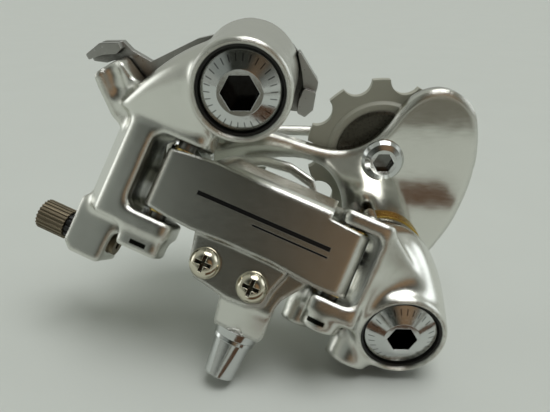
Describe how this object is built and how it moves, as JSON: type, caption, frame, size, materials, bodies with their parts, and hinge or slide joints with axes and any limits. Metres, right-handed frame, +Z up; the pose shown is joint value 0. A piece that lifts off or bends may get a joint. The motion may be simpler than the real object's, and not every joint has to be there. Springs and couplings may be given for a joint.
{
  "type": "rear bicycle derailleur",
  "caption": "Slant parallelogram rear derailleur in polished alloy, with sprung cage, two jockey pulleys, limit screws, cable clamp and barrel adjuster.",
  "frame": {"origin": "axis of the hanger bolt at the face that seats on the frame hanger", "axes": "+X forward along the bicycle, +Y inboard along the hanger bolt towards the wheel, +Z up"},
  "size_m": [0.1169, 0.0603, 0.0794],
  "materials": {
    "polished_alloy": "polished forged alloy",
    "cage_alloy": "polished sheet alloy",
    "polished_steel": "polished plated steel",
    "plain_steel": "plain steel",
    "nickel_screw": "nickel plated",
    "dark_seal": "black plastic",
    "bronze": "dark bronze",
    "brass_ring": "bright brass",
    "pulley_plastic": "grey nylon",
    "spring_steel": "oiled spring wire"
  },
  "bodies": {
    "mount": {"hanger_bolt": "polished_steel", "stop_plate": "plain_steel", "retaining_clip": "spring_steel"},
    "bracket": {"upper_knuckle": "polished_alloy", "upper_seal_ring": "dark_seal", "upper_bush": "brass_ring", "upper_pivot_spring": "spring_steel", "upper_outer_pin": "plain_steel", "upper_inner_pin": "plain_steel", "upper_pin_clips": "dark_seal", "adjuster_collar": "dark_seal"},
    "adjuster": {"barrel_adjuster": "bronze"},
    "front_link": {"outer_link": "polished_alloy", "outer_link_bushes": "brass_ring", "cable_washer": "polished_steel", "cable_anchor_bolt": "polished_steel"},
    "high_screw": {"high_limit_screw": "nickel_screw"},
    "low_screw": {"low_limit_screw": "nickel_screw"},
    "rear_link": {"inner_link": "polished_alloy", "inner_link_bushes": "brass_ring", "return_spring": "spring_steel"},
    "carrier": {"lower_knuckle": "polished_alloy", "lower_outer_pin": "plain_steel", "lower_inner_pin": "plain_steel", "lower_pin_clips": "dark_seal", "lower_seal_ring": "dark_seal", "lower_bush": "brass_ring", "cage_spring": "spring_steel"},
    "cage": {"lower_pivot_bolt": "polished_steel", "brass_seal_ring": "brass_ring", "outer_cage_plate": "cage_alloy", "inner_cage_plate": "cage_alloy", "cage_stop_pin": "plain_steel", "guide_pulley_bolt": "polished_steel", "tension_pulley_bolt": "polished_steel", "guide_pulley_bush": "plain_steel", "tension_pulley_bush": "plain_steel", "guide_dust_caps": "dark_seal", "tension_dust_caps": "dark_seal"},
    "guide_wheel": {"guide_pulley": "pulley_plastic"},
    "tension_wheel": {"tension_pulley": "pulley_plastic"}
  },
  "joints": [
    {"name": "hanger_pivot", "type": "hinge", "parent": "mount", "child": "bracket", "pos_m": [0, 0, 0], "axis": [0, 1, 0], "range_deg": [-25, 0], "stiffness_Nm_per_rad": 0.3, "springref_deg": 34.38, "deforming": ["upper_pivot_spring"]},
    {"name": "adjuster_turn", "type": "hinge", "parent": "bracket", "child": "adjuster", "pos_m": [-0.05316, -0.01308, -0.03662], "axis": [0.9233, -0.2203, -0.3146], "continuous": true},
    {"name": "link_swing", "type": "hinge", "parent": "bracket", "child": "front_link", "pos_m": [-0.01795, -0.0198, -0.02395], "axis": [0.3805, 0.4136, 0.8271], "range_deg": [0, 46], "stiffness_Nm_per_rad": 0.3, "springref_deg": -34.38},
    {"name": "high_screw_turn", "type": "hinge", "parent": "front_link", "child": "high_screw", "pos_m": [-0.00864, -0.02878, -0.03994], "axis": [0.0521, 0.8834, -0.4657], "continuous": true},
    {"name": "low_screw_turn", "type": "hinge", "parent": "front_link", "child": "low_screw", "pos_m": [0.00221, -0.03167, -0.04421], "axis": [0.0521, 0.8834, -0.4657], "continuous": true},
    {"name": "rear_link_swing", "type": "hinge", "parent": "bracket", "child": "rear_link", "pos_m": [-0.02155, -0.00774, -0.02832], "axis": [0.3805, 0.4136, 0.8271], "range_deg": [0, 46], "deforming": ["return_spring"]},
    {"name": "carrier_swing", "type": "hinge", "parent": "front_link", "child": "carrier", "pos_m": [0.02314, -0.0296, -0.03795], "axis": [0.3805, 0.4136, 0.8271], "range_deg": [-46, 0]},
    {"name": "cage_pivot", "type": "hinge", "parent": "carrier", "child": "cage", "pos_m": [0.0365, 0, -0.0544], "axis": [0, 1, 0], "range_deg": [-135, 0], "stiffness_Nm_per_rad": 0.15, "springref_deg": 34.38, "deforming": ["cage_spring"]},
    {"name": "guide_spin", "type": "hinge", "parent": "cage", "child": "guide_wheel", "pos_m": [0.0352, 0.0096, -0.0251], "axis": [0, 1, 0], "continuous": true},
    {"name": "tension_spin", "type": "hinge", "parent": "cage", "child": "tension_wheel", "pos_m": [-0.017, 0.0096, -0.0244], "axis": [0, 1, 0], "continuous": true}
  ],
  "couplings": [
    {"joint": "rear_link_swing", "follows": "link_swing", "ratio": 1},
    {"joint": "carrier_swing", "follows": "link_swing", "ratio": -1}
  ]
}
